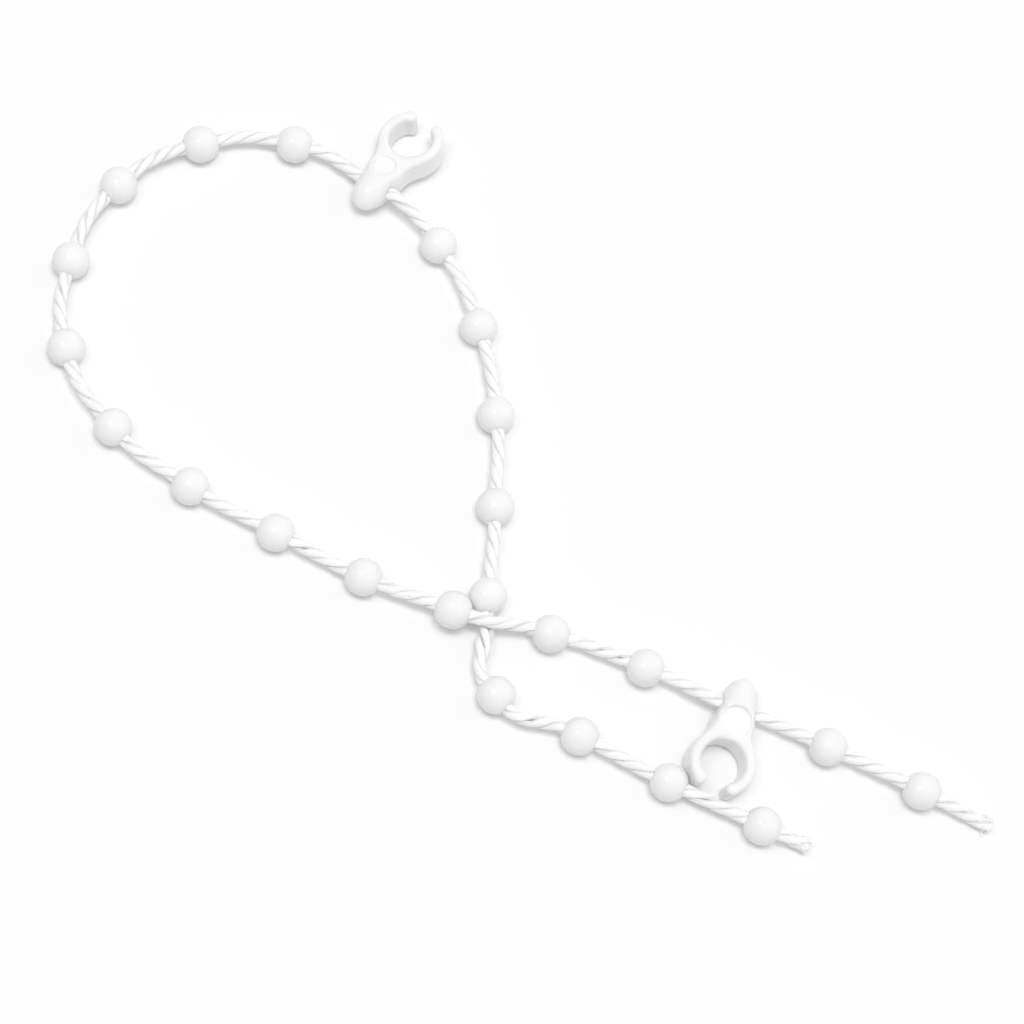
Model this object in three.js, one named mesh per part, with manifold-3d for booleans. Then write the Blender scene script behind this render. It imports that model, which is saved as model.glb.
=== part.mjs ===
// The bottom chain of a vertical blind, lying loose on a flat surface.
// One twisted cord carries moulded beads at an even pitch and, where each louvre hangs, a moulded
// clip: a bead-like head with a C-shaped hook that snaps round the peg of a louvre's weight.
// Millimetres, +Z up. The origin is on the surface, below the middle of the chain's outline.

import * as THREE from "three";
import { mergeVertices } from "three/addons/utils/BufferGeometryUtils.js";
import Module from "manifold-3d";

const wasm = await Module();
wasm.setup();

// Cord
const cordDiameter = 1.25;
const cordSides = 8;
const mouldClearance = 0.1; // between the cord and whatever is moulded round it

// Beads
const beadDiameter = 3.5;
const beadLength = 3.4; // along the cord
const beadSides = 14;
const beadArcSteps = 8;

// Clip, in its own frame: the cord runs along X, the hook points along +Y, its rims face +Z and -Z
const headWidth = 3.55;
const headThickness = 3.4;
const headReach = 2.85; // from the cord's middle to the closed end of the head
const headTaper = 3.2; // from the cord's middle to where the head has sunk into the neck
const neckWidth = 3.6;
const noseRadius = 1.3; // of the neck's end inside the head
const flareReach = 1.2; // how slowly the neck widens into the hook
const flareAngle = 20; // degrees: where the flare meets the hook, below the hook's widest line
const hookInnerDiameter = 4.2;
const hookWall = 1.0;
const hookHeight = 2.9;
const hookOpening = 1.9; // between the two tips
const hookOffset = 5.6; // from the cord's middle to the middle of the hook
const tipThickening = 0.12; // how far each rounded tip stands into the hook
const tipBlend = 0.35; // radians of the hook over which the tip thickens
const rimRounding = 0.45;
const padDiameter = 2.8;
const padOffset = 1.6; // from the cord's middle to the middle of the flat round pad
const padSpacing = 2.6; // between the pads of the two faces
const headSides = 20;
const headArcSteps = 6;
const plateCurveSteps = 8;

// Crossing: one strand lies over the other beside a bead
const underSag = 0.45; // how far the lower strand dips below the middle of the beads

const cordRadius = cordDiameter / 2;
const beadRadius = beadDiameter / 2;
const boreRadius = cordRadius + mouldClearance;
const hookInner = hookInnerDiameter / 2;
const hookOuter = hookInner + hookWall;
const overLift = cordDiameter + mouldClearance - underSag;

// The chain in order along its cord, chosen by hand to follow its lie on the surface.
// Each place gives x, y and how far it lies above the height at which it would rest.
const END = "end";
const BEAD = "bead";
const CLIP = "clip";
const BEND = "bend";
const places = [
  [END, 25.5, -36.2, 0.5],
  [BEAD, 21.4, -34.4, 0],
  [BEAD, 13.15, -30.3, 0],
  [BEAD, 5.3, -25.9, 0],
  [BEAD, -2.1, -22.0, 0],
  [BEND, -2.7, -15.0, -underSag],
  [BEAD, -2.5, -12.6, 0],
  [BEAD, -1.5, -3.9, 0],
  [BEAD, -1.1, 5.2, 0],
  [BEAD, -2.4, 14.1, 0],
  [BEAD, -5.9, 22.5, 0],
  [CLIP, -11.7, 28.5, 0],
  [BEAD, -19.3, 32.9, 0],
  [BEAD, -28.2, 32.8, 0],
  [BEAD, -35.9, 28.4, 0],
  [BEAD, -40.3, 20.6, 0],
  [BEAD, -40.7, 11.8, 0],
  [BEAD, -36.4, 3.9, 0],
  [BEAD, -29.4, -1.9, 0],
  [BEAD, -21.7, -6.4, 0],
  [BEAD, -13.8, -10.7, 0],
  [BEAD, -5.8, -14.1, 0.65],
  [BEND, -2.8, -15.2, overLift],
  [BEAD, 3.1, -16.2, 0],
  [BEAD, 11.6, -19.5, 0],
  [CLIP, 19.75, -23.45, 0],
  [BEAD, 27.9, -27.1, 0],
  [BEAD, 36.2, -31.3, 0],
  [END, 42.4, -34.5, 0.15],
];

// How each clip lies, in degrees: where its hook points seen from above, how far the hook dips,
// and how far the clip leans over about its own length.
const clipLies = [
  { heading: 51, dip: 1, lean: -12 },
  { heading: -110, dip: 1, lean: -9 },
];

const cordMaterial = new THREE.MeshStandardMaterial({ color: 0xf4f4f2, roughness: 0.8, metalness: 0 });
const beadMaterial = new THREE.MeshStandardMaterial({ color: 0xe9e9e8, roughness: 0.35, metalness: 0 });
const clipMaterial = new THREE.MeshStandardMaterial({ color: 0xefefee, roughness: 0.35, metalness: 0 });

// A closed three.js geometry as a solid that can be joined and cut.
function solidOf(geometry) {
  const bare = geometry.clone();
  bare.deleteAttribute("normal");
  bare.deleteAttribute("uv");
  const merged = mergeVertices(bare, 1e-4);
  return new wasm.Manifold(
    new wasm.Mesh({
      numProp: 3,
      vertProperties: new Float32Array(merged.attributes.position.array),
      triVerts: new Uint32Array(merged.index.array),
    }),
  );
}

function geometryOf(solid) {
  const made = solid.getMesh();
  const geometry = new THREE.BufferGeometry();
  geometry.setAttribute("position", new THREE.BufferAttribute(made.vertProperties, 3));
  geometry.setIndex(new THREE.BufferAttribute(made.triVerts, 1));
  geometry.computeVertexNormals();
  return geometry;
}

// A bead: nearly a ball, turned about its bore along Y.
function beadGeometry() {
  const halfBore = (beadLength / 2) * Math.sqrt(1 - (boreRadius / beadRadius) ** 2);
  const steepest = Math.atan2(halfBore / (beadLength / 2), boreRadius / beadRadius);
  const profile = [];
  for (let i = 0; i <= beadArcSteps; i++) {
    const angle = steepest * ((2 * i) / beadArcSteps - 1);
    const radius = beadRadius * Math.cos(angle);
    profile.push(new THREE.Vector2(radius, (beadLength / 2) * Math.sin(angle)));
  }
  profile.push(profile[0].clone());
  return new THREE.LatheGeometry(profile, beadSides);
}

// The clip's head: a smooth egg about Y, blunter at its closed end, flattened a little.
function headGeometry() {
  const profile = [];
  for (let i = 0; i <= 2 * headArcSteps; i++) {
    const angle = (Math.PI / 2) * (i / headArcSteps);
    const reach = i < headArcSteps ? headReach : headTaper;
    profile.push(new THREE.Vector2((headWidth / 2) * Math.sin(angle), -reach * Math.cos(angle)));
  }
  profile[0].x = 0;
  profile.at(-1).x = 0;
  const head = new THREE.LatheGeometry(profile, headSides);
  return head.scale(1, 1, headThickness / headWidth);
}

// Neck and hook in one outline: a nose inside the head, a waist, a flare and a C with rounded tips.
function plateOutline() {
  const tipRadius = (hookWall + tipThickening) / 2;
  const tipRing = hookOuter - tipRadius;
  const halfGap = Math.asin((hookOpening / 2 + tipRadius) / tipRing);
  const [right, left] = [Math.PI / 2 - halfGap, Math.PI / 2 + halfGap];
  const flare = THREE.MathUtils.degToRad(flareAngle);
  const flareEnd = new THREE.Vector2(Math.cos(flare), -Math.sin(flare)).multiplyScalar(hookOuter);
  const flareTangent = new THREE.Vector2(Math.sin(flare), Math.cos(flare)).multiplyScalar(flareReach);
  const lowControl = flareEnd.clone().sub(flareTangent);
  const [waist, nose] = [neckWidth / 2, noseRadius];
  const shoulderY = padOffset - noseRadius / 2;

  const outline = new THREE.Shape();
  outline.absarc(0, 0, nose, Math.PI, 2 * Math.PI, false);
  outline.bezierCurveTo(nose, shoulderY / 2, waist, shoulderY / 2, waist, padOffset);
  outline.bezierCurveTo(
    waist,
    padOffset + flareReach,
    lowControl.x,
    hookOffset + lowControl.y,
    flareEnd.x,
    hookOffset + flareEnd.y,
  );
  outline.absarc(0, hookOffset, hookOuter, -flare, right, false);
  const tipAt = (angle) => [tipRing * Math.cos(angle), hookOffset + tipRing * Math.sin(angle)];
  outline.absarc(...tipAt(right), tipRadius, right, right + Math.PI, false);
  outline.absarc(0, hookOffset, hookInner, right - tipBlend, -Math.PI / 2, true);
  outline.absarc(0, hookOffset, hookInner, -Math.PI / 2, left + tipBlend - 2 * Math.PI, true);
  outline.absarc(...tipAt(left), tipRadius, left + Math.PI, left + 2 * Math.PI, false);
  outline.absarc(0, hookOffset, hookOuter, left, Math.PI + flare, false);
  outline.bezierCurveTo(
    -lowControl.x,
    hookOffset + lowControl.y,
    -waist,
    padOffset + flareReach,
    -waist,
    padOffset,
  );
  outline.bezierCurveTo(-waist, shoulderY / 2, -nose, shoulderY / 2, -nose, 0);
  return outline;
}

// The neck and hook as one band of even height, its rims rounded over.
function plateGeometry() {
  const plate = new THREE.ExtrudeGeometry(plateOutline(), {
    depth: hookHeight - 2 * rimRounding,
    curveSegments: plateCurveSteps,
    bevelEnabled: true,
    bevelThickness: rimRounding,
    bevelSize: rimRounding,
    bevelOffset: -rimRounding,
    bevelSegments: 2,
  });
  return plate.translate(0, 0, rimRounding - hookHeight / 2);
}

function clipGeometry() {
  const bore = new THREE.CylinderGeometry(boreRadius, boreRadius, 2 * headWidth, beadSides);
  bore.rotateZ(Math.PI / 2);
  let clip = solidOf(headGeometry()).add(solidOf(plateGeometry())).subtract(solidOf(bore));
  for (const face of [1, -1]) {
    const pad = new THREE.CylinderGeometry(padDiameter / 2, padDiameter / 2, headThickness, headSides);
    pad.rotateX(Math.PI / 2);
    pad.translate(0, padOffset, face * (padSpacing / 2 + headThickness / 2));
    clip = clip.subtract(solidOf(pad));
  }
  return geometryOf(clip);
}

// The turn of a clip that lies as given: X along the cord, Y towards the hook.
function clipTurn({ heading, dip, lean }) {
  const turn = new THREE.Quaternion().setFromAxisAngle(
    new THREE.Vector3(0, 0, 1),
    THREE.MathUtils.degToRad(heading - 90),
  );
  const nod = new THREE.Quaternion().setFromAxisAngle(
    new THREE.Vector3(1, 0, 0),
    THREE.MathUtils.degToRad(-dip),
  );
  const roll = new THREE.Quaternion().setFromAxisAngle(
    new THREE.Vector3(0, 1, 0),
    THREE.MathUtils.degToRad(lean),
  );
  return turn.multiply(nod).multiply(roll);
}

// The height of the cord's middle where a piece rests on the surface. A bend hangs between beads.
function restHeight(kind, turn) {
  if (kind === END) return cordRadius;
  if (kind !== CLIP) return beadRadius;
  const turned = clipShape.clone().applyQuaternion(turn);
  turned.computeBoundingBox();
  return -turned.boundingBox.min.z;
}

// Each place as a point, with the direction of the cord where it runs straight through a piece.
function chainPieces() {
  const lies = clipLies.values();
  const pieces = places.map(([kind, x, y, lift]) => {
    const turn = kind === CLIP ? clipTurn(lies.next().value) : null;
    return { kind, turn, point: new THREE.Vector3(x, y, restHeight(kind, turn) + lift) };
  });
  pieces.forEach((piece, i) => {
    const before = pieces[Math.max(0, i - 1)];
    const after = pieces[Math.min(pieces.length - 1, i + 1)];
    piece.direction = after.point.clone().sub(before.point).normalize();
    if (piece.kind !== CLIP) return;
    const alongX = new THREE.Vector3(1, 0, 0).applyQuaternion(piece.turn);
    piece.direction = alongX.multiplyScalar(Math.sign(alongX.dot(piece.direction)));
  });
  return pieces;
}

// Half the straight run of the cord through a piece.
function halfRun(kind) {
  if (kind === BEAD) return beadLength / 2;
  if (kind === CLIP) return headWidth / 2;
  return 0;
}

// The cord's middle line: straight through each bead and clip, and curved between them.
class ChainLine extends THREE.Curve {
  constructor(pieces) {
    super();
    this.stations = [];
    pieces.forEach((piece, i) => {
      const run = piece.direction.clone().multiplyScalar(halfRun(piece.kind));
      const enter = piece.point.clone().sub(run);
      const leave = piece.point.clone().add(run);
      this.stations.push(enter);
      if (halfRun(piece.kind) > 0) this.stations.push(leave);
      const next = pieces[i + 1];
      if (!next) return;
      const arrive = next.point.clone().addScaledVector(next.direction, -halfRun(next.kind));
      const reach = leave.distanceTo(arrive) / 3;
      if (reach < cordRadius) return;
      const link = new THREE.CubicBezierCurve3(
        leave,
        leave.clone().addScaledVector(piece.direction, reach),
        arrive.clone().addScaledVector(next.direction, -reach),
        arrive,
      );
      this.stations.push(link.getPoint(0.5));
    });
  }

  getPoint(t, target = new THREE.Vector3()) {
    const place = t * (this.stations.length - 1);
    const i = Math.min(Math.floor(place), this.stations.length - 2);
    return target.lerpVectors(this.stations[i], this.stations[i + 1], place - i);
  }

  getPointAt(u, target) {
    return this.getPoint(u, target);
  }

  getTangentAt(u, target = new THREE.Vector3()) {
    const i = Math.round(u * (this.stations.length - 1));
    const before = this.stations[Math.max(0, i - 1)];
    const after = this.stations[Math.min(this.stations.length - 1, i + 1)];
    return target.subVectors(after, before).normalize();
  }
}

function cordGeometry(pieces) {
  const section = new THREE.Shape();
  for (let i = 0; i < cordSides; i++) {
    const angle = (2 * Math.PI * i) / cordSides;
    const [x, y] = [cordRadius * Math.cos(angle), cordRadius * Math.sin(angle)];
    if (i === 0) section.moveTo(x, y);
    else section.lineTo(x, y);
  }
  const line = new ChainLine(pieces);
  return new THREE.ExtrudeGeometry(section, {
    steps: line.stations.length - 1,
    extrudePath: line,
    bevelEnabled: false,
  });
}

const chain = new THREE.Group();
const beadShape = beadGeometry();
const clipShape = clipGeometry();
const pieces = chainPieces();

const cord = new THREE.Mesh(cordGeometry(pieces), cordMaterial);
cord.name = "cord";
chain.add(cord);

let beadCount = 0;
let clipCount = 0;
for (const piece of pieces) {
  if (piece.kind === BEAD) {
    const bead = new THREE.Mesh(beadShape, beadMaterial.clone());
    beadCount += 1;
    bead.name = "bead_" + String(beadCount).padStart(2, "0");
    bead.position.copy(piece.point);
    bead.quaternion.setFromUnitVectors(new THREE.Vector3(0, 1, 0), piece.direction);
    chain.add(bead);
  }
  if (piece.kind === CLIP) {
    const clip = new THREE.Mesh(clipShape, clipMaterial.clone());
    clipCount += 1;
    clip.name = "clip_" + clipCount;
    clip.position.copy(piece.point);
    clip.quaternion.copy(piece.turn);
    chain.add(clip);
  }
}

export default chain;
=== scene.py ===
# %% [markdown]
# # The bottom chain of a vertical blind
#
# The louvres of a vertical blind are spaced at their lower ends by a light chain. It is one white
# twisted cord with round beads moulded on it, and at each louvre a moulded clip: a bead with a
# C-shaped hook. Here a short length of it lies on a pale table in a loose loop, with both cut
# ends side by side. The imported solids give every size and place, and this script dresses them.

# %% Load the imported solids
import math

import bpy
import numpy as np
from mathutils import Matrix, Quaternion, Vector


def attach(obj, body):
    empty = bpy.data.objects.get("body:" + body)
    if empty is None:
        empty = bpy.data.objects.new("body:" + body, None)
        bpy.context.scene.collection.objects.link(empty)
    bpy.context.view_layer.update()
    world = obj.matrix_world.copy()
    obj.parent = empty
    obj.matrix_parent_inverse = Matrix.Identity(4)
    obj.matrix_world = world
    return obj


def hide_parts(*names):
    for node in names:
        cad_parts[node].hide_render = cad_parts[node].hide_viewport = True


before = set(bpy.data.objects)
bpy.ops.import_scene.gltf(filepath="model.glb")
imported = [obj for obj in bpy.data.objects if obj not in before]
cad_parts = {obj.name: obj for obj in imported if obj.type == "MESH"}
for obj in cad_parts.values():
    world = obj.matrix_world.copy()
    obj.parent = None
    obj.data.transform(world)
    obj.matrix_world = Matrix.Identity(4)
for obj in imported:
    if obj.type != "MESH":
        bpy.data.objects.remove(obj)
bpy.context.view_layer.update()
MM = 0.001

# %% [markdown]
# ## The camera
#
# The chain was seen from above and a little to one side, from about 31 cm away through a long
# lens, so its beads look nearly the same size all over the picture. The camera looks along a
# fixed direction at a point on the level of the beads' middles, and is rolled a little.

# %% Place the camera
AIM = Vector((0, -4.4, 1.75)) * MM
LOOKS_ALONG = Vector((0.1133, 0.3486, -0.9304)).normalized()
DISTANCE = 313.6 * MM
ROLL = math.radians(16.84)

camera_data = bpy.data.cameras.new("camera")
camera_data.lens = 120
camera_data.sensor_width = 36
camera_data.clip_start = 0.01
camera = bpy.data.objects.new("camera", camera_data)
camera.rotation_mode = "QUATERNION"
camera.rotation_quaternion = LOOKS_ALONG.to_track_quat("-Z", "Y") @ Quaternion((0, 0, 1), ROLL)
camera.location = AIM - LOOKS_ALONG * DISTANCE
bpy.context.scene.collection.objects.link(camera)
bpy.context.scene.camera = camera
print("camera at", [round(x, 3) for x in camera.location])

# %% [markdown]
# ## Nodes as sums
#
# Most of what follows is made by node trees: Geometry Nodes for shapes, and shader nodes for
# finishes. Both use the same Math nodes. A tree that is written as dozens of separate nodes is
# hard to read, so one small class wraps a socket and turns an expression such as 1 - mask into
# its Math nodes, and one method adds any other node.


# %% Two helpers for node trees
class Wire:
    """One output of a node. Calculating with it adds Math nodes."""

    def __init__(self, graph, socket):
        self.graph = graph
        self.socket = socket

    def math(self, operation, *values):
        wired = dict(enumerate([self, *values]))
        return self.graph.node("ShaderNodeMath", {"operation": operation}, wired)

    def __add__(self, other):
        return self.math("ADD", other)

    def __sub__(self, other):
        return self.math("SUBTRACT", other)

    def __rsub__(self, other):
        return self.graph.node("ShaderNodeMath", {"operation": "SUBTRACT"}, {0: other, 1: self})

    def __mul__(self, other):
        return self.math("MULTIPLY", other)

    def __truediv__(self, other):
        return self.math("DIVIDE", other)

    def __rtruediv__(self, other):
        return self.graph.node("ShaderNodeMath", {"operation": "DIVIDE"}, {0: other, 1: self})

    def __neg__(self):
        return self * -1.0

    def __abs__(self):
        return self.math("ABSOLUTE")

    __radd__ = __add__
    __rmul__ = __mul__

    def also(self, name):
        """Another output of the same node."""
        return Wire(self.graph, self.socket.node.outputs[name])

    def x_y_z(self):
        """The three parts of a vector."""
        parts = self.graph.node("ShaderNodeSeparateXYZ", {}, {0: self})
        return parts, parts.also("Y"), parts.also("Z")


class Graph:
    """A node tree that is being built."""

    def __init__(self, tree):
        self.tree = tree

    def node(self, kind, settings=None, sockets=None, out=0):
        """Adds a node: its type, its settings, then its sockets' values or links."""
        made = self.tree.nodes.new(kind)
        for name, value in (settings or {}).items():
            setattr(made, name, value)
        for name, value in (sockets or {}).items():
            self.feed(made, name, value)
        outputs = [s for s in made.outputs if s.enabled]
        return Wire(self, outputs[out] if isinstance(out, int) else made.outputs[out])

    def feed(self, made, name, value):
        """Gives a socket, named or counted, its value or its link."""
        if isinstance(name, int):
            socket = made.inputs[name]
        else:
            socket = next(s for s in made.inputs if s.name == name and s.enabled)
        if isinstance(value, Wire):
            self.tree.links.new(value.socket, socket)
        else:
            socket.default_value = value

    def vector(self, x=0.0, y=0.0, z=0.0):
        return self.node("ShaderNodeCombineXYZ", {}, {0: x, 1: y, 2: z})

    def vector_math(self, operation, *values, **named):
        wired = {**dict(enumerate(values)), **named}
        return self.node("ShaderNodeVectorMath", {"operation": operation}, wired)

    def smooth_step(self, value, start, end, low=0.0, high=1.0):
        """Goes softly from low to high while the value goes from start to end."""
        sockets = {
            "Value": value,
            "From Min": start,
            "From Max": end,
            "To Min": low,
            "To Max": high,
        }
        return self.node("ShaderNodeMapRange", {"interpolation_type": "SMOOTHSTEP"}, sockets)

    def attribute(self, name, out="Fac"):
        """An attribute of the mesh, read in a shader tree."""
        return self.node("ShaderNodeAttribute", {"attribute_name": name}, {}, out)

    def noise(self, **sockets):
        """Noise from -0.5 to 0.5."""
        return self.node("ShaderNodeTexNoise", {}, sockets) - 0.5

    def stored(self, name, kind="FLOAT"):
        """An attribute of the points, read in a geometry tree."""
        return self.node("GeometryNodeInputNamedAttribute", {"data_type": kind}, {"Name": name})

    def position(self):
        """Where a point is, in a geometry tree."""
        return self.node("GeometryNodeInputPosition")


# %% [markdown]
# A tree of Geometry Nodes starts from a host object, here always a plain mesh of points or edges.
# Its inputs are named, and the modifier is given them by each socket's identifier. A tree works in
# millimetres and ends in metres. The result is taken as a plain mesh, and the host is removed, so
# nothing live is left in the file.


# %% Run a tree of Geometry Nodes
def new_tree(name, **inputs):
    """A tree with a Geometry input and output and named inputs, and a wire for each input."""
    tree = bpy.data.node_groups.new(name, "GeometryNodeTree")
    tree.interface.new_socket("Geometry", in_out="OUTPUT", socket_type="NodeSocketGeometry")
    tree.interface.new_socket("Geometry", in_out="INPUT", socket_type="NodeSocketGeometry")
    for label, kind in inputs.items():
        tree.interface.new_socket(label, in_out="INPUT", socket_type="NodeSocket" + kind)
    source = tree.nodes.new("NodeGroupInput")
    graph = Graph(tree)
    return graph, {s.name: Wire(graph, s) for s in source.outputs if s.name}


def close_tree(graph, geometry, material):
    """Turns millimetres into metres, realizes the instances and gives the material."""
    in_metres = {"Geometry": geometry, "Scale": (MM, MM, MM)}
    metres = graph.node("GeometryNodeTransform", {}, in_metres)
    real = graph.node("GeometryNodeRealizeInstances", {}, {0: metres})
    smooth = graph.node("GeometryNodeSetShadeSmooth", {}, {0: real})
    finished = graph.node("GeometryNodeSetMaterial", {}, {0: smooth, "Material": material})
    sink = graph.tree.nodes.new("NodeGroupOutput")
    graph.tree.links.new(finished.socket, sink.inputs[0])


def host_mesh(name, points, edges=(), **attributes):
    """A mesh of bare points and edges, with an attribute of numbers or vectors for each name."""
    mesh = bpy.data.meshes.new(name)
    mesh.from_pydata([tuple(p) for p in points], list(edges), [])
    for label, values in attributes.items():
        values = np.asarray(values, np.float32)
        kind, field = ("FLOAT_VECTOR", "vector") if values.ndim == 2 else ("FLOAT", "value")
        attribute = mesh.attributes.new(label, kind, "POINT")
        attribute.data.foreach_set(field, values.ravel())
    return mesh


def run_tree(graph, name, host, **inputs):
    """The tree's result on a host mesh, as an object at the origin with a plain mesh."""
    carrier = bpy.data.objects.new("host", host)
    bpy.context.scene.collection.objects.link(carrier)
    modifier = carrier.modifiers.new("tree", "NODES")
    modifier.node_group = graph.tree
    for item in graph.tree.interface.items_tree:
        if item.in_out == "INPUT" and item.name in inputs:
            modifier[item.identifier] = inputs[item.name]
    evaluated = carrier.evaluated_get(bpy.context.evaluated_depsgraph_get())
    mesh = bpy.data.meshes.new_from_object(evaluated)
    bpy.data.objects.remove(carrier)
    mesh.name = name
    piece = bpy.data.objects.new(name, mesh)
    bpy.context.scene.collection.objects.link(piece)
    triangles = sum(len(p.vertices) - 2 for p in mesh.polygons)
    print(name + ":", triangles, "triangles")
    return piece


# %% [markdown]
# ## The cord's route
#
# The cord runs straight through each bead and clip, which are moulded on it, and bends between
# them. So its route is a list of places in order along it: what is there, and where the cord's
# middle lies, in millimetres, as in the part's own source. Near the middle one run lies over the
# other. A clip's cord runs across its hook, so the way the hook points gives the cord's way.

# %% Lay out the route
CORD_DIAMETER = 1.25
# How far the cord runs straight to each side of a place.
HALF_RUN = {"bead": 1.7, "clip": 1.775, "bend": 0.0, "end": 0.0}
PLACES = [
    ("end", 25.5, -36.2, 1.125),
    ("bead", 21.4, -34.4, 1.75),
    ("bead", 13.15, -30.3, 1.75),
    ("bead", 5.3, -25.9, 1.75),
    ("bead", -2.1, -22.0, 1.75),
    ("bend", -2.7, -15.0, 1.3),
    ("bead", -2.5, -12.6, 1.75),
    ("bead", -1.5, -3.9, 1.75),
    ("bead", -1.1, 5.2, 1.75),
    ("bead", -2.4, 14.1, 1.75),
    ("bead", -5.9, 22.5, 1.75),
    ("clip", -11.7, 28.5, 2.068),
    ("bead", -19.3, 32.9, 1.75),
    ("bead", -28.2, 32.8, 1.75),
    ("bead", -35.9, 28.4, 1.75),
    ("bead", -40.3, 20.6, 1.75),
    ("bead", -40.7, 11.8, 1.75),
    ("bead", -36.4, 3.9, 1.75),
    ("bead", -29.4, -1.9, 1.75),
    ("bead", -21.7, -6.4, 1.75),
    ("bead", -13.8, -10.7, 1.75),
    ("bead", -5.8, -14.1, 2.4),
    ("bend", -2.8, -15.2, 2.65),
    ("bead", 3.1, -16.2, 1.75),
    ("bead", 11.6, -19.5, 1.75),
    ("clip", 19.75, -23.45, 1.947),
    ("bead", 27.9, -27.1, 1.75),
    ("bead", 36.2, -31.3, 1.75),
    ("end", 42.4, -34.5, 0.775),
]
# Degrees: where the hook points seen from above, how far it dips, how far the clip leans over.
CLIP_LIES = [(51, 1, -12), (-110, 1, -9)]


def clip_turn(heading, dip, lean):
    """The turn from the clip's own frame, cord along X and hook along +Y, to how it lies."""
    turned = Quaternion((0, 0, 1), math.radians(heading - 90))
    nodded = Quaternion((1, 0, 0), math.radians(-dip))
    return turned @ nodded @ Quaternion((0, 1, 0), math.radians(lean))


kinds = [place[0] for place in PLACES]
middles = [Vector(place[1:]) for place in PLACES]
bead_stops = [i for i, kind in enumerate(kinds) if kind == "bead"]
clip_stops = [i for i, kind in enumerate(kinds) if kind == "clip"]
clip_turns = {stop: clip_turn(*lie) for stop, lie in zip(clip_stops, CLIP_LIES)}
directions = []
for i, middle in enumerate(middles):
    along = middles[min(i + 1, len(middles) - 1)] - middles[max(i - 1, 0)]
    if i in clip_turns:
        across_hook = clip_turns[i] @ Vector((1, 0, 0))
        along = across_hook if across_hook.dot(along) > 0 else -across_hook
    directions.append(along.normalized())
print("on the cord:", len(bead_stops), "beads and", len(clip_stops), "clips")


# %% Draw the route as one smooth line
def link_between(start, start_way, end, end_way, step=0.25):
    """Points on a cubic curve that leaves one straight run and arrives on the next."""
    reach = (end - start).length / 3
    controls = [start, start + start_way * reach, end - end_way * reach, end]
    count = max(2, round((end - start).length / step))
    points = []
    for t in np.linspace(0, 1, count + 1):
        weights = ((1 - t) ** 3, 3 * t * (1 - t) ** 2, 3 * t * t * (1 - t), t**3)
        shares = [control * float(weight) for weight, control in zip(weights, controls)]
        points.append(sum(shares, Vector((0, 0, 0))))
    return points


route = []
for i, (kind, middle, way) in enumerate(zip(kinds, middles, directions)):
    enter, leave = middle - way * HALF_RUN[kind], middle + way * HALF_RUN[kind]
    if route:
        route += link_between(route[-1], directions[i - 1], enter, way)[1:]
    else:
        route.append(enter)
    if HALF_RUN[kind]:
        route += link_between(enter, way, leave, way)[1:]
route = np.array([tuple(p) for p in route])
cord_length = np.linalg.norm(np.diff(route, axis=0), axis=1).sum()
print("cord:", len(route), "points,", round(cord_length, 1), "mm long")

# %% [markdown]
# ## The cord's finish
#
# The strands are bundles of hair-fine white polyester filaments. Up close their lay shows as fine
# streaks that wind round each strand the other way from the strands' own twist, so they end up
# nearly in line with the cord. The streaks come from two attributes that the shape leaves on its
# mesh, the place round the strand and the distance along it, so they follow every bend. A sine
# with a whole number of waves round the strand has no seam. The lines where two strands meet lie
# deep in shade, and that shade is painted: the edges of a strand's section are coloured darker.
# Polyester filament has a soft sheen. A filament that has come loose is too thin to show any
# streaks, so it has a plainer finish.


# %% The cord's material
def new_material(name):
    material = bpy.data.materials.new(name)
    material.use_nodes = True
    material.node_tree.nodes.clear()
    return material, Graph(material.node_tree)


def close_material(graph, surface):
    sink = graph.tree.nodes.new("ShaderNodeOutputMaterial")
    graph.tree.links.new(surface.socket, sink.inputs["Surface"])


def grey(graph, value):
    """A number as a grey colour."""
    return graph.node("ShaderNodeCombineColor", {}, {0: value, 1: value, 2: value})


FILAMENT_TURN = -1.1  # radians round the strand for each mm along it
COARSE_STREAKS = 17  # round one strand
FINE_STREAKS = 29
COARSE_SHARE = 0.5  # how strong the streaks are
FINE_SHARE = 0.35
COARSE_WOBBLE = 8  # radians that the mottle shifts the streaks by
FINE_WOBBLE = 12
STREAK_HEIGHT = 0.02 * MM
# painted shade: the edges of a strand's section are coloured darker where two strands meet
PAINTED_GROOVE_SPAN = (0.44, 0.5)  # where a strand's edge starts and ends, in widths from its middle
PAINTED_GROOVE_SHADE = 0.16  # how much darker the edge is

cord_material, g = new_material("twisted_polyester")
ring_x, ring_y, _ = g.attribute("ring", "Vector").x_y_z()
round_strand = ring_y.math("ARCTAN2", ring_x) + g.attribute("run") * FILAMENT_TURN
place = g.node("ShaderNodeTexCoord", out="Object")
mottle = g.noise(Vector=place, Scale=900.0, Detail=3.0)
streaks = (round_strand * COARSE_STREAKS + mottle * COARSE_WOBBLE).math("SINE") * COARSE_SHARE
fine_streaks = (round_strand * FINE_STREAKS + mottle * FINE_WOBBLE).math("SINE")
streaks = streaks + fine_streaks * FINE_SHARE
bumps = {"Strength": 0.6, "Distance": STREAK_HEIGHT, "Height": streaks}
# the mask of the painted shade between strands
groove_shade_mask = g.smooth_step(abs(ring_y), *PAINTED_GROOVE_SPAN)
cord_surface = g.node(
    "ShaderNodeBsdfPrincipled",
    {},
    {
        "Base Color": grey(g, 0.99 + streaks * 0.01 + mottle * 0.012 - groove_shade_mask * PAINTED_GROOVE_SHADE),
        "Roughness": 0.6 - streaks * 0.08,
        "Sheen Weight": 0.4,
        "Normal": g.node("ShaderNodeBump", {}, bumps),
    },
)
close_material(g, cord_surface)
print("cord material:", len(cord_material.node_tree.nodes), "nodes")

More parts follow.
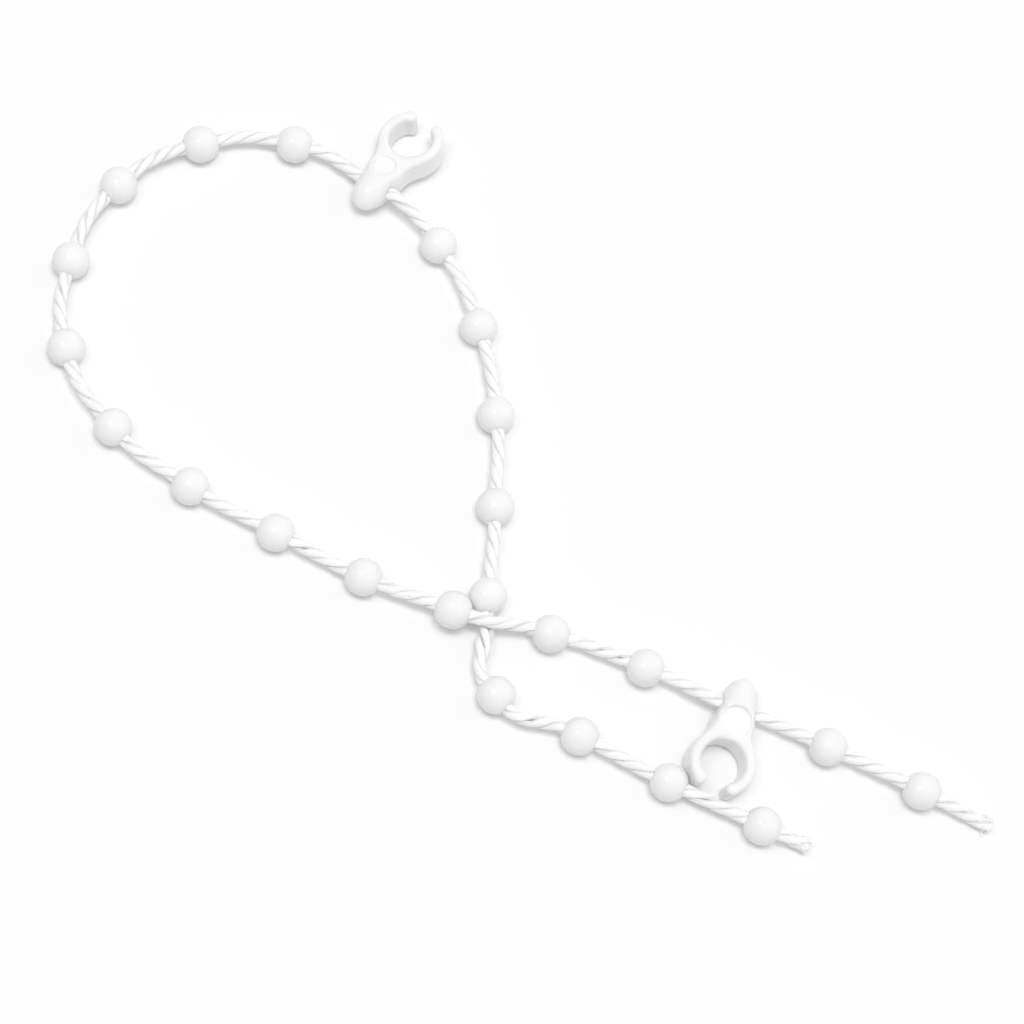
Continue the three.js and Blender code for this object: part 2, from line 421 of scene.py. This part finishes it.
fibre_material, g = new_material("loose_polyester")
place = g.node("ShaderNodeTexCoord", out="Object")
mottle = g.noise(Vector=place, Scale=1500.0, Detail=2.0)
fibre_finish = {
    "Base Color": grey(g, 0.97 + mottle * 0.04),
    "Roughness": 0.5,
    "Sheen Weight": 0.1,
}
close_material(g, g.node("ShaderNodeBsdfPrincipled", {}, fibre_finish))

# %% [markdown]
# ## The twisted cord
#
# Three strands wind round each other. A smooth tube with a striped picture on it would lose the
# notched outline that a twisted cord has, so each strand is real: the route is copied three
# times, each copy is pushed off the middle line by an angle that grows with the distance along
# it, and a flattened round section is swept along the result. Then the section is creased where
# its filaments gather in loose bundles. Noise opens and closes the strands a little. Just before
# the sharp bend they gape, and the host says where, by an attribute that falls off round that
# place. Near the cut ends they thin out into loose fibres, which come next.

# %% Size the strands
STRANDS = 3
LAY_LENGTH = 5.7  # mm of cord for one full turn
SECTION_SIDES = 20
CURVE_STEP = 0.165  # mm from one section to the next
STRAND_WIDTH = 0.76
STRAND_HEIGHT = 0.56
BUNDLES = 6
CREASE = 0.022  # mm deep between two bundles
BUNDLE_WOBBLE = 5  # radians that noise shifts the bundles by
SURFACE_DRIFT = 0.05  # mm that noise raises and lowers a strand's surface by
LOOSE_END = 1.5  # mm over which the strands thin out at a cut end
THIN_END = 0.45  # how thick a strand is at its tip, where 1 is full
SLACK_AT = (-2.9, -17.2, 1.4)  # where the strands gape, just before the sharp bend
SLACK_SPAN = 1.0
SLACK = 0.2  # mm that the strands move outwards there
DRIFT_PACE = 0.45  # how fast the noise changes along the cord, for each mm
STRANDS_APART = 7.3  # how far apart in the noise the strands are read
ANGLE_DRIFT = 0.24  # how much the noise turns, spreads and thickens a strand
SPREAD_DRIFT = 0.4
THICKNESS_DRIFT = 0.45
print(STRANDS, "strands with a lay of", LAY_LENGTH, "mm")


# %% Place, keep, store and sweep
def strand_angle(given, run, number, drift):
    """How far round the cord a strand lies, in radians, at a distance along it."""
    turns = number / given["Strands"] - run / given["Lay_length"] + drift * ANGLE_DRIFT
    return turns * (2 * math.pi)


def push_out(g, angle):
    """The direction out of the curve at an angle round its tangent."""
    normal = g.node("GeometryNodeInputNormal")
    tangent = g.node("GeometryNodeInputTangent")
    sideways = g.vector_math("CROSS_PRODUCT", tangent, normal)
    return g.vector_math(
        "ADD",
        g.vector_math("SCALE", normal, Scale=angle.math("COSINE")),
        g.vector_math("SCALE", sideways, Scale=angle.math("SINE")),
    )


def keep(g, geometry, kind, value):
    """Works a field out now, before the points move, and passes it on."""
    held = g.node("GeometryNodeCaptureAttribute", {}, {0: geometry})
    made = held.socket.node
    made.capture_items.new(kind, "kept")
    g.feed(made, 1, value)
    return held, Wire(g, made.outputs[1])


def store(g, geometry, name, value, kind="FLOAT"):
    """Leaves a field on the points as a named attribute for the material."""
    settings = {"data_type": kind, "domain": "POINT"}
    sockets = {0: geometry, "Name": name, "Value": value}
    return g.node("GeometryNodeStoreNamedAttribute", settings, sockets)


def sweep(g, curves, section):
    """A closed tube along each curve."""
    swept = {"Curve": curves, "Profile Curve": section, "Fill Caps": True}
    return g.node("GeometryNodeCurveToMesh", {}, swept)


# %% Wind the strands round the route
g, given = new_tree(
    "twisted_cord",
    Strands="Int",
    Lay_length="Float",
    Diameter="Float",
    Width="Float",
    Height="Float",
    Sides="Int",
    Step="Float",
    Loose="Float",
    Bundles="Float",
    Crease="Float",
    Slack="Float",
    Seed="Float",
)
line = g.node("GeometryNodeMeshToCurve", {}, {"Mesh": given["Geometry"]})
even_steps = {"Curve": line, "Length": given["Step"]}
line = g.node("GeometryNodeResampleCurve", {"mode": "LENGTH"}, even_steps)
one_each = {"Geometry": line, "Amount": given["Strands"]}
copies = g.node("GeometryNodeDuplicateElements", {"domain": "SPLINE"}, one_each)
number = copies.also("Duplicate Index")
run = g.node("GeometryNodeSplineParameter", out="Length")
whole = g.node("GeometryNodeSplineLength", out="Length")
from_tip = run.math("MINIMUM", whole - run)
thin_end = g.smooth_step(from_tip, 0.1, given["Loose"], THIN_END, 1.0)
wander = g.vector(run * DRIFT_PACE, number * STRANDS_APART, given["Seed"])
drift = g.noise(Vector=wander, Scale=1.0, Detail=1.0)
angle = strand_angle(given, run, number, drift)
copies, outward = keep(g, copies, "VECTOR", push_out(g, angle))
off_middle = (given["Diameter"] - given["Height"]) / 2 * (1 + drift * SPREAD_DRIFT)
off_middle = off_middle + g.stored("slack") * given["Slack"]
copies, run_kept = keep(g, copies, "FLOAT", run)
copies, drift_kept = keep(g, copies, "FLOAT", drift)
copies, thin_kept = keep(g, copies, "FLOAT", thin_end)
copies, off_kept = keep(g, copies, "FLOAT", off_middle)
push = g.vector_math("SCALE", outward, Scale=off_kept)
strands = g.node("GeometryNodeSetPosition", {}, {"Geometry": copies, "Offset": push})
flat_side_out = {"Curve": strands, "Normal": outward}
strands = g.node("GeometryNodeSetCurveNormal", {"mode": "FREE"}, flat_side_out)
thickness = (1 + drift_kept * THICKNESS_DRIFT) * thin_kept
strands = g.node("GeometryNodeSetCurveRadius", {}, {"Curve": strands, "Radius": thickness})
strands = store(g, strands, "run", run_kept)
circle = {"Resolution": given["Sides"], "Radius": 0.5}
section = g.node("GeometryNodeCurvePrimitiveCircle", {}, circle)
section = store(g, section, "ring", g.position(), "FLOAT_VECTOR")
section_size = g.vector(given["Height"], given["Width"], 1.0)
section = g.node("GeometryNodeTransform", {}, {"Geometry": section, "Scale": section_size})
tubes = sweep(g, strands, section)
print("winding:", len(g.tree.nodes), "nodes")

# %% Crease the strands
ring_x, ring_y, _ = g.stored("ring", "FLOAT_VECTOR").x_y_z()
about = ring_y.math("ARCTAN2", ring_x) + g.stored("run") * FILAMENT_TURN
uneven = g.noise(Vector=g.position(), Scale=0.9, Detail=2.0)
bundled = (about * given["Bundles"] + uneven * BUNDLE_WOBBLE).math("SINE") * given["Crease"]
crease = bundled + uneven * SURFACE_DRIFT
surface_normal = g.node("GeometryNodeInputNormal")
creased = g.vector_math("SCALE", surface_normal, Scale=crease)
tubes = g.node("GeometryNodeSetPosition", {}, {"Geometry": tubes, "Offset": creased})
close_tree(g, tubes, cord_material)
print("with creases:", len(g.tree.nodes), "nodes")

# %% Grow the cord
route_edges = [(i, i + 1) for i in range(len(route) - 1)]
from_gap = np.linalg.norm(route - np.array(SLACK_AT), axis=1)
slack = np.exp(-((from_gap / SLACK_SPAN) ** 2))
cord = run_tree(
    g,
    "twisted_cord",
    host_mesh("route", route, route_edges, slack=slack),
    Strands=STRANDS,
    Lay_length=LAY_LENGTH,
    Diameter=CORD_DIAMETER,
    Width=STRAND_WIDTH,
    Height=STRAND_HEIGHT,
    Sides=SECTION_SIDES,
    Step=CURVE_STEP,
    Loose=LOOSE_END,
    Bundles=float(BUNDLES),
    Crease=CREASE,
    Slack=SLACK,
    Seed=4.0,
)

# %% [markdown]
# ## The cut ends
#
# Where the cord was cut, its strands have come apart into loose filaments. The shorter end was cut
# at a slant and hardly spreads, and the longer one fans out flat on the table. Each loose bundle
# starts inside its strand, follows it, and leaves it more and more towards the tip. The last few
# millimetres of the route are the host, and each point on it knows how far along the cord it is
# and how loose the fibres are there.

# %% Take the last stretch of the route at each end
FRAY_LENGTH = 2.6
FRAY_POINTS = 19
FRAYS = [  # the route from that end, how far the tips spread to the sides, how uneven the cut is
    (slice(0, None), 0.42, 0.35),
    (slice(None, None, -1), 0.55, 0.7),
]
points, edges, runs, loose, spreads, unevens = [], [], [], [], [], []
for order, spread, uneven_cut in FRAYS:
    tail = route[order]
    steps = np.linalg.norm(np.diff(tail, axis=0), axis=1)
    from_tip = np.concatenate([[0], steps.cumsum()])
    marks = np.linspace(FRAY_LENGTH, 0, FRAY_POINTS)
    spots = np.stack([np.interp(marks, from_tip, tail[:, axis]) for axis in range(3)], axis=1)
    edges += [(len(points) + i, len(points) + i + 1) for i in range(len(spots) - 1)]
    points += list(spots)
    runs += list(marks if order.step is None else cord_length - marks)
    loose += list((1 - marks / FRAY_LENGTH) ** 2)
    spreads += [spread] * len(spots)
    unevens += [uneven_cut] * len(spots)
tails = host_mesh("tails", points, edges, run=runs, loose=loose, spread=spreads, uneven=unevens)
print("tails:", len(points), "points")

# %% Fray the cut ends
BUNDLE_TURN = 1.1  # radians that a fibre winds round its bundle for each mm
WAVE_PACE = 3.1  # radians of a fibre's own wave for each mm
WAVES_APART = 2.4  # radians between the waves of one fibre and the next
WAVE_SIZE = 0.1
TIP_LIFT = (-0.25, 0.35)  # the least and most that a tip rises, as a share of the spread
TIP_LOSS = 0.6  # how much thinner a fibre or a filament is at its tip, where 1 is all

g, given = new_tree(
    "loose_fibres",
    Fibres="Int",
    Strands="Int",
    Lay_length="Float",
    Diameter="Float",
    Height="Float",
    Thickness="Float",
    Bundle="Float",
    Seed="Int",
)
ends = g.node("GeometryNodeMeshToCurve", {}, {"Mesh": given["Geometry"]})
copied = {"Geometry": ends, "Amount": given["Fibres"]}
many = g.node("GeometryNodeDuplicateElements", {"domain": "SPLINE"}, copied)
number = many.also("Duplicate Index")
run, loose_here, spread_here = (g.stored(name) for name in ("run", "loose", "spread"))


def chance(low, high, draw):
    """A random number for each fibre, from its own draw."""
    sockets = {"Min": low, "Max": high, "ID": number, "Seed": given["Seed"] + draw}
    return g.node("FunctionNodeRandomValue", {"data_type": "FLOAT"}, sockets)


def thin_section(g, sides):
    """The round section of a single fibre or filament."""
    circle = {"Resolution": sides, "Radius": 1.0}
    section = g.node("GeometryNodeCurvePrimitiveCircle", {}, circle)
    thin = g.vector(given["Thickness"], given["Thickness"], 1.0)
    return g.node("GeometryNodeTransform", {}, {"Geometry": section, "Scale": thin})


def add_up(g, *pushes):
    """The sum of a start and further vectors."""
    total = pushes[0]
    for push in pushes[1:]:
        total = g.vector_math("ADD", total, push)
    return total


strand = number.math("MODULO", given["Strands"])
out_way = push_out(g, strand_angle(given, run, strand, 0.0))
inside_way = push_out(g, chance(0.0, 2 * math.pi, 1) + run * BUNDLE_TURN)
tangent = g.node("GeometryNodeInputTangent")
flat_side = g.vector_math("NORMALIZE", g.vector_math("CROSS_PRODUCT", tangent, (0, 0, 1)))
wave = (run * WAVE_PACE + number * WAVES_APART).math("SINE") * WAVE_SIZE
fan = (chance(-1.0, 1.0, 2) + wave) * spread_here * loose_here
lift = (chance(*TIP_LIFT, 3) - wave) * spread_here * loose_here
in_bundle = given["Bundle"] * chance(0.2, 1.0, 4)
cut_back = chance(0.0, 1.0, 5) * g.stored("uneven") * loose_here
offset = add_up(
    g,
    g.vector_math("SCALE", out_way, Scale=(given["Diameter"] - given["Height"]) / 2),
    g.vector_math("SCALE", inside_way, Scale=in_bundle),
    g.vector_math("SCALE", flat_side, Scale=fan),
    g.vector(0.0, 0.0, lift),
    g.vector_math("SCALE", tangent, Scale=-cut_back),
)
fibres = g.node("GeometryNodeSetPosition", {}, {"Geometry": many, "Offset": offset})
x, y, z = g.position().x_y_z()
grounded = g.vector(x, y, z.math("MAXIMUM", given["Thickness"]))
fibres = g.node("GeometryNodeSetPosition", {}, {"Geometry": fibres, "Position": grounded})
taper = 1 - loose_here * TIP_LOSS
fibres = g.node("GeometryNodeSetCurveRadius", {}, {"Curve": fibres, "Radius": taper})
close_tree(g, sweep(g, fibres, thin_section(g, sides=5)), fibre_material)

cut_ends = run_tree(
    g,
    "cut_end_fibres",
    tails,
    Fibres=84,
    Strands=STRANDS,
    Lay_length=LAY_LENGTH,
    Diameter=CORD_DIAMETER,
    Height=STRAND_HEIGHT,
    Thickness=0.045,
    Bundle=0.25,
    Seed=11,
)

# %% [markdown]
# ## Stray filaments
#
# Handling has teased single filaments out of the cord, and they stand off it as a thin fuzz. Points
# scattered over the strands carry one short curved hair each, which lies along the cord more than
# it sticks out. The underside gets none, because the table presses them flat.

# %% Raise the fuzz
FACES_UP = -0.1  # a face whose normal's height is above this may carry a hair
HAIR_ARC = {"Start": (0, 0, 0), "Middle": (0.5, 0.06, 0.2), "End": (1.0, 0.3, 0.22)}
SHORTEST = 0.35  # of the longest hair
OFF_TABLE = 0.01  # mm that a hair at least keeps off the table


def spin_round(g, rotation, seed):
    """A rotation, turned further by a random angle round its own Z."""
    whole_turn = {"Min": 0.0, "Max": 2 * math.pi, "Seed": seed}
    angle = g.node("FunctionNodeRandomValue", {"data_type": "FLOAT"}, whole_turn)
    turned = {"Rotation": rotation, "Rotate By": g.vector(0.0, 0.0, angle)}
    return g.node("FunctionNodeRotateRotation", {"rotation_space": "LOCAL"}, turned)


g, given = new_tree("fuzz", Density="Float", Length="Float", Thickness="Float", Seed="Int")
to_mm = {"Geometry": given["Geometry"], "Scale": (1 / MM, 1 / MM, 1 / MM)}
scatter = {
    "Mesh": g.node("GeometryNodeTransform", {}, to_mm),
    "Selection": g.node("GeometryNodeInputNormal").x_y_z()[2].math("GREATER_THAN", FACES_UP),
    "Density": given["Density"],
    "Seed": given["Seed"],
}
scattered = g.node("GeometryNodeDistributePointsOnFaces", {}, scatter)
hair = g.node("GeometryNodeCurveQuadraticBezier", {}, {**HAIR_ARC, "Resolution": 6})
tip_thin = 1 - g.node("GeometryNodeSplineParameter", out="Factor") * TIP_LOSS
hair = g.node("GeometryNodeSetCurveRadius", {}, {"Curve": hair, "Radius": tip_thin})
lengths = {
    "Min": given["Length"] * SHORTEST,
    "Max": given["Length"],
    "Seed": given["Seed"] + 1,
}
size = g.node("FunctionNodeRandomValue", {"data_type": "FLOAT"}, lengths)
hairs = {
    "Points": scattered,
    "Instance": sweep(g, hair, thin_section(g, sides=3)),
    "Rotation": spin_round(g, scattered.also("Rotation"), given["Seed"]),
    "Scale": g.vector(size, size, size),
}
placed = g.node("GeometryNodeInstanceOnPoints", {}, hairs)
placed = g.node("GeometryNodeRealizeInstances", {}, {0: placed})
x, y, z = g.position().x_y_z()
grounded = g.vector(x, y, z.math("MAXIMUM", OFF_TABLE))
hairs = g.node("GeometryNodeSetPosition", {}, {"Geometry": placed, "Position": grounded})
close_tree(g, hairs, fibre_material)

fuzz = run_tree(
    g,
    "stray_filaments",
    cord.data.copy(),
    Density=0.45,
    Length=1.0,
    Thickness=0.014,
    Seed=5,
)

# %% Say what the cord and its fibres are
for piece in (cord, cut_ends, fuzz):
    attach(piece, "root")
    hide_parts("cord")
    print(piece.name, "dresses the solid cord")

# %% [markdown]
# ## The moulded plastic
#
# The beads and clips are white moulded plastic: nearly neutral, satin, with a very fine unevenness
# from the mould. A mould has two halves, and where they meet a hair-thin line runs round each
# piece. Each shape leaves its own millimetre coordinates on its mesh, so that the line is where
# the mould had it however the piece lies.
#
# Such plastic is a little milky: light goes in and comes out again close by, and the inside of a
# hook stays light. Subsurface scattering does that, with the same reach for all colours, because
# the plastic is neutral. The clips are milkier than the beads. The flat floor of a clip's recess
# faces the light and looks paler than the rest, and that light is painted into its colour: the
# clips' shape also leaves a mask of it, named pad.


# %% The plastic's materials
SEAM_WIDTH = 0.045  # mm to each side of the parting line
MOULD_RELIEF = 0.012 * MM
UNEVEN_SHADE = 0.03
UNEVEN_GLOSS = 0.1
SEAM_SHADE = 0.02
# painted light: the flat floor of a clip's recess is coloured paler
PAINTED_PAD_LIGHT = 0.09


def moulded_plastic(name, shade, seam_axis, roughness, milkiness, depth):
    """White plastic with a parting line across one axis of the piece's own coordinates."""
    material, g = new_material(name)
    axes = g.attribute("own", "Vector").x_y_z()
    place = g.node("ShaderNodeTexCoord", out="Object")
    cloud = g.node("ShaderNodeTexNoise", {}, {"Vector": place, "Scale": 260.0, "Detail": 1.0})
    seam = g.smooth_step(abs(axes[seam_axis]), 0.0, SEAM_WIDTH, 1.0, 0.0)
    colour = shade + (cloud - 0.5) * UNEVEN_SHADE - seam * SEAM_SHADE
    # painted light on the recess floor, through the pad mask
    colour = colour + g.attribute("pad") * PAINTED_PAD_LIGHT
    bumps = {"Strength": 0.3, "Distance": MOULD_RELIEF, "Height": seam + cloud}
    finish = {
        "Base Color": grey(g, colour),
        "Roughness": roughness + (cloud - 0.5) * UNEVEN_GLOSS,
        "Subsurface Weight": milkiness,
        "Subsurface Radius": (1.0, 1.0, 1.0),
        "Subsurface Scale": depth,
        "Normal": g.node("ShaderNodeBump", {}, bumps),
    }
    close_material(g, g.node("ShaderNodeBsdfPrincipled", {}, finish))
    print(name + ":", len(material.node_tree.nodes), "nodes")
    return material


bead_material = moulded_plastic(
    "bead_plastic", shade=0.9, seam_axis=0, roughness=0.15, milkiness=0.2, depth=0.5 * MM
)
clip_material = moulded_plastic(
    "clip_plastic", shade=0.892, seam_axis=2, roughness=0.2, milkiness=0.6, depth=1.1 * MM
)

# %% [markdown]
# ## The beads
#
# A bead is nearly a ball, a very little longer and fuller than a true one, moulded round the cord,
# with a slight dimple at each end where the mould gripped the cord. All beads are one shape, so
# one is built from a ball and placed on every bead's place, turned along the cord there and spun
# by a random amount as the twisting cord leaves it.

# %% Mould one bead
BEAD_DIAMETER = 3.5
BEAD_LENGTH = 3.52
BEAD_FULLNESS = 2.04  # 2 is an ellipse, more is fuller
DIMPLE_RADIUS = 0.72
DIMPLE_DEPTH = 0.08
DIMPLE_FLOOR = 0.8  # how far its flat floor reaches, as a share of its radius

g, given = new_tree(
    "beads",
    Diameter="Float",
    Length="Float",
    Dimple_radius="Float",
    Dimple_depth="Float",
    Fullness="Float",
    Segments="Int",
    Rings="Int",
    Seed="Int",
)
unit_ball = {"Segments": given["Segments"], "Rings": given["Rings"], "Radius": 1.0}
ball = g.node("GeometryNodeMeshUVSphere", {}, unit_ball)
x, y, z = g.position().x_y_z()
radius = given["Diameter"] / 2
off_axis = (x * x + y * y).math("SQRT")
power = given["Fullness"]
fuller = off_axis.math("POWER", power) + abs(z).math("POWER", power)
fuller = fuller.math("POWER", -1 / power)
dimple_edge = given["Dimple_radius"]
dimple = g.smooth_step(off_axis * radius, dimple_edge, dimple_edge * DIMPLE_FLOOR)
half_length = given["Length"] / 2 - dimple * given["Dimple_depth"]
shaped = g.vector(x * radius * fuller, y * radius * fuller, z * half_length * fuller)
bead = g.node("GeometryNodeSetPosition", {}, {"Geometry": ball, "Position": shaped})
bead = store(g, bead, "own", g.position(), "FLOAT_VECTOR")
print("one bead:", len(g.tree.nodes), "nodes")

# %% Put a bead on each of its places
along_cord = {"Vector": g.stored("way", "FLOAT_VECTOR")}
turned = g.node("FunctionNodeAlignRotationToVector", {"axis": "Z"}, along_cord)
on_places = {
    "Points": given["Geometry"],
    "Instance": bead,
    "Rotation": spin_round(g, turned, given["Seed"]),
}
placed = g.node("GeometryNodeInstanceOnPoints", {}, on_places)
placed = g.node("GeometryNodeRealizeInstances", {}, {0: placed})
close_tree(g, placed, bead_material)

bead_places = [middles[i] for i in bead_stops]
bead_ways = [tuple(directions[i]) for i in bead_stops]
beads = run_tree(
    g,
    "moulded_beads",
    host_mesh("bead_places", bead_places, way=bead_ways),
    Diameter=BEAD_DIAMETER,
    Length=BEAD_LENGTH,
    Dimple_radius=DIMPLE_RADIUS,
    Dimple_depth=DIMPLE_DEPTH,
    Fullness=BEAD_FULLNESS,
    Segments=48,
    Rings=32,
    Seed=7,
)
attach(beads, "root")
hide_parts(*[f"bead_{n + 1:02d}" for n in range(len(bead_stops))])

# %% [markdown]
# ## The clips
#
# A clip is one smooth moulding: an egg-shaped head round the cord, a neck with a flat round
# recess on each face, and a C-shaped hook with rounded rims and thickened tips. Such soft blends
# are hard to model face by face. A distance formula blends them in one line each: a smooth
# minimum joins two shapes with a fillet, and a smooth maximum cuts one from the other. A Volume
# Cube samples the formula, and the surface is drawn where it is zero. The numbers are the solid's.

# %% Size the clip
CLIP = dict(
    Head_width=3.55,
    Head_thickness=3.4,
    Head_reach=2.85,
    Head_taper=3.2,
    Neck_width=3.6,
    Hook_offset=5.6,
    Hook_inner=2.1,
    Hook_wall=1.0,
    Hook_height=2.9,
    Hook_opening=1.9,
    Rim=0.45,
    Pad_offset=1.6,
    Pad_height=1.3,  # the recess's floor above the clip's middle plane
)
WAIST = 0.72  # how wide the neck starts, as a share of its full width
TIP_SHARE = 0.56  # a tip's radius, as a share of the hook's wall
BORE_SHARE = 0.47  # the hole's radius, as a share of the cord's diameter
BLEND = {"neck": 1.5, "tip": 0.25, "head": 0.8, "pad": 0.08, "bore": 0.3}  # mm

g, given = new_tree(
    "clip",
    Pad_diameter="Float",
    Voxels_per_mm="Float",
    Place="Vector",
    Turn="Vector",
    **{label: "Float" for label in CLIP},
)
x, y, z = g.position().x_y_z()
print("clip sizes:", len(CLIP) + 1)


# %% Measure, join and cut
def length_of(first, *others):
    """The length of a vector with these parts."""
    return sum(part * part for part in (*others, first)).math("SQRT")


def join(a, b, blend):
    return a.math("SMOOTH_MIN", b, blend)


def cut(a, b, blend):
    """What is left of a outside b."""
    return a.math("SMOOTH_MAX", -b, blend)


# %% The head, an egg that is longer towards the hook
toward_hook = y.math("GREATER_THAN", 0.0)
reach = given["Head_reach"] + toward_hook * (given["Head_taper"] - given["Head_reach"])
radii = (given["Head_width"] / 2, reach, given["Head_thickness"] / 2)
scaled = length_of(*[part / radius for part, radius in zip((x, y, z), radii)])
slope = length_of(*[part / (radius * radius) for part, radius in zip((x, y, z), radii)])
head = scaled * (scaled - 1.0) / slope
print("head:", len(g.tree.nodes), "nodes")

# %% The outline of the neck and hook, and the plate with rounded rims that it gives
hook_y = y - given["Hook_offset"]
outer = given["Hook_inner"] + given["Hook_wall"]
from_hook = length_of(x, hook_y)
wide = given["Neck_width"] / 2
half_neck = g.smooth_step(y, 0.0, given["Pad_offset"], wide * WAIST, wide)
neck = (abs(x) - half_neck).math("MAXIMUM", -y).math("MAXIMUM", hook_y)
outline = join(from_hook - outer, neck, BLEND["neck"])
outline = outline.math("MAXIMUM", given["Hook_inner"] - from_hook)
tip_radius = given["Hook_wall"] * TIP_SHARE
tip_ring = outer - tip_radius
tip_sine = (given["Hook_opening"] / 2 + tip_radius) / tip_ring
tip_cosine = (1 - tip_sine * tip_sine).math("SQRT")
beside_gap = abs(x) * tip_cosine - hook_y * tip_sine
outline = outline.math("MAXIMUM", -beside_gap)
from_tip = length_of(abs(x) - tip_ring * tip_sine, hook_y - tip_ring * tip_cosine)
outline = join(outline, from_tip - tip_radius, BLEND["tip"])

edge = outline + given["Rim"]
face = abs(z) - given["Hook_height"] / 2 + given["Rim"]
inside = edge.math("MAXIMUM", face).math("MINIMUM", 0.0)
outside = length_of(edge.math("MAXIMUM", 0.0), face.math("MAXIMUM", 0.0))
plate = inside + outside - given["Rim"]
print("with the plate:", len(g.tree.nodes), "nodes")

# %% Join head and plate, and cut the recesses and the cord's hole
from_pad = length_of(x, y - given["Pad_offset"])
pad = (from_pad - given["Pad_diameter"] / 2).math("MAXIMUM", given["Pad_height"] - abs(z))
bore = length_of(y, z) - CORD_DIAMETER * BORE_SHARE
body = join(head, plate, BLEND["head"])
body = cut(body, pad, BLEND["pad"])
body = cut(body, bore, BLEND["bore"])
print("whole formula:", len(g.tree.nodes), "nodes")

# %% Draw the clip where the formula is zero, and lay both clips down
LOW, HIGH = (-3.4, -3.1, -2.0), (3.4, 9.0, 2.0)  # mm, just round the clip
PAD_DIAMETERS = [2.1, 2.8]
PAD_FADE = (0.16, 0.04)  # mm inside the recess's edge, where its mask starts and stops to fade

box = {"Density": -body, "Background": -1.0, "Min": LOW, "Max": HIGH}
for axis, low, high in zip("XYZ", LOW, HIGH):
    box["Resolution " + axis] = given["Voxels_per_mm"] * (high - low)
volume = g.node("GeometryNodeVolumeCube", {}, box)
skin = g.node("GeometryNodeVolumeToMesh", {}, {"Volume": volume, "Threshold": 0.0})
skin = store(g, skin, "own", g.position(), "FLOAT_VECTOR")
# the mask for the painted light on the recess floor
fade_start, fade_stop = (given["Pad_diameter"] / 2 - inwards for inwards in PAD_FADE)
skin = store(g, skin, "pad", g.smooth_step(from_pad, fade_start, fade_stop, 1.0, 0.0))
lie = {"Geometry": skin, "Rotation": given["Turn"], "Translation": given["Place"]}
close_tree(g, g.node("GeometryNodeTransform", {}, lie), clip_material)

for number, stop in enumerate(clip_stops, start=1):
    clip = run_tree(
        g,
        f"moulded_clip_{number}",
        host_mesh("empty", [(0, 0, 0)]),
        Pad_diameter=PAD_DIAMETERS[number - 1],
        Voxels_per_mm=14.0,
        Place=tuple(middles[stop]),
        Turn=tuple(clip_turns[stop].to_euler()),
        **CLIP,
    )
    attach(clip, "root")
    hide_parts(f"clip_{number}")

tuple(route[0] * MM)
route * MM
print("cord declared:", round(cord_length, 1), "mm long,", CORD_DIAMETER, "mm across")

# %% [markdown]
# ## The table and the light
#
# A white chain on a white table shows only by its shading, so the light matters. It is a bright
# room: an even glow from all round, a soft lamp overhead as strong as the glow, a broader one on
# the right, and a small one a little left of overhead, the only lamp that a bead mirrors, as a
# gentle spark. The table is a pale sheet. To the camera it gives off a trace of light of its own,
# and the room is white, so that both stay white where the shadows let them. Reflections see both
# as the camera does, and no more light falls on the chain for it.

# %% Lay the table
TABLE_HALF = 3.0  # m from its middle to its edge
TABLE_SHADE = 0.83
TABLE_LIFT = 0.1  # of full white


def seen_as_backdrop(g):
    """1 to the camera, in a reflection or through a clear piece, and 0 for other light."""
    camera_ray = g.node("ShaderNodeLightPath", out="Is Camera Ray")
    mirrored = camera_ray.also("Is Glossy Ray")
    mirrored = mirrored.math("MAXIMUM", camera_ray.also("Is Transmission Ray"))
    return camera_ray.math("MAXIMUM", mirrored)


corners = [(-1, -1), (1, -1), (1, 1), (-1, 1)]
floor_mesh = bpy.data.meshes.new("table")
floor_mesh.from_pydata(
    [(x * TABLE_HALF, y * TABLE_HALF, 0) for x, y in corners], [], [(0, 1, 2, 3)]
)
floor = bpy.data.objects.new("table", floor_mesh)
bpy.context.scene.collection.objects.link(floor)
floor_material, g = new_material("pale_table")
paper = {
    "Base Color": (TABLE_SHADE, TABLE_SHADE, TABLE_SHADE, 1),
    "Roughness": 0.8,
    "Specular IOR Level": 0.2,
}
paper = g.node("ShaderNodeBsdfPrincipled", {}, paper)
lift = {"Color": (1, 1, 1, 1), "Strength": seen_as_backdrop(g) * TABLE_LIFT}
lift = g.node("ShaderNodeEmission", {}, lift)
close_material(g, g.node("ShaderNodeAddShader", {}, {0: paper, 1: lift}))
floor_mesh.materials.append(floor_material)
print("table:", 2 * TABLE_HALF, "m wide")


# %% Light the room
def soft_lamp(name, toward, distance, size, level, sparkle=True):
    """A square lamp that adds this level, of full white, to a white face turned to it."""
    data = bpy.data.lights.new(name, "AREA")
    data.size = size
    data.energy = level * math.pi**2 * distance**2
    lamp = bpy.data.objects.new(name, data)
    lamp.location = AIM + Vector(toward).normalized() * distance
    lamp.rotation_euler = (-Vector(toward)).to_track_quat("-Z", "Y").to_euler()
    lamp.visible_glossy = sparkle
    bpy.context.scene.collection.objects.link(lamp)


soft_lamp("overhead", (0.03, -0.08, 1.0), distance=0.9, size=0.27, level=0.45, sparkle=False)
soft_lamp("side", (0.86, 0.3, 0.43), distance=0.9, size=1.2, level=0.24, sparkle=False)
soft_lamp("spark", (-0.37, 0.02, 1.03), distance=0.6, size=0.13, level=0.12)

ROOM_GLOW = 0.46  # of full white
world = bpy.data.worlds.new("room")
bpy.context.scene.world = world
world.use_nodes = True
world.node_tree.nodes.clear()
g = Graph(world.node_tree)
seen = seen_as_backdrop(g)
room_level = ROOM_GLOW * (1 - seen) + seen
glow = g.node("ShaderNodeBackground", {}, {"Color": (1, 1, 1, 1), "Strength": room_level})
sink = world.node_tree.nodes.new("ShaderNodeOutputWorld")
world.node_tree.links.new(glow.socket, sink.inputs["Surface"])
bpy.context.scene.view_settings.view_transform = "Standard"
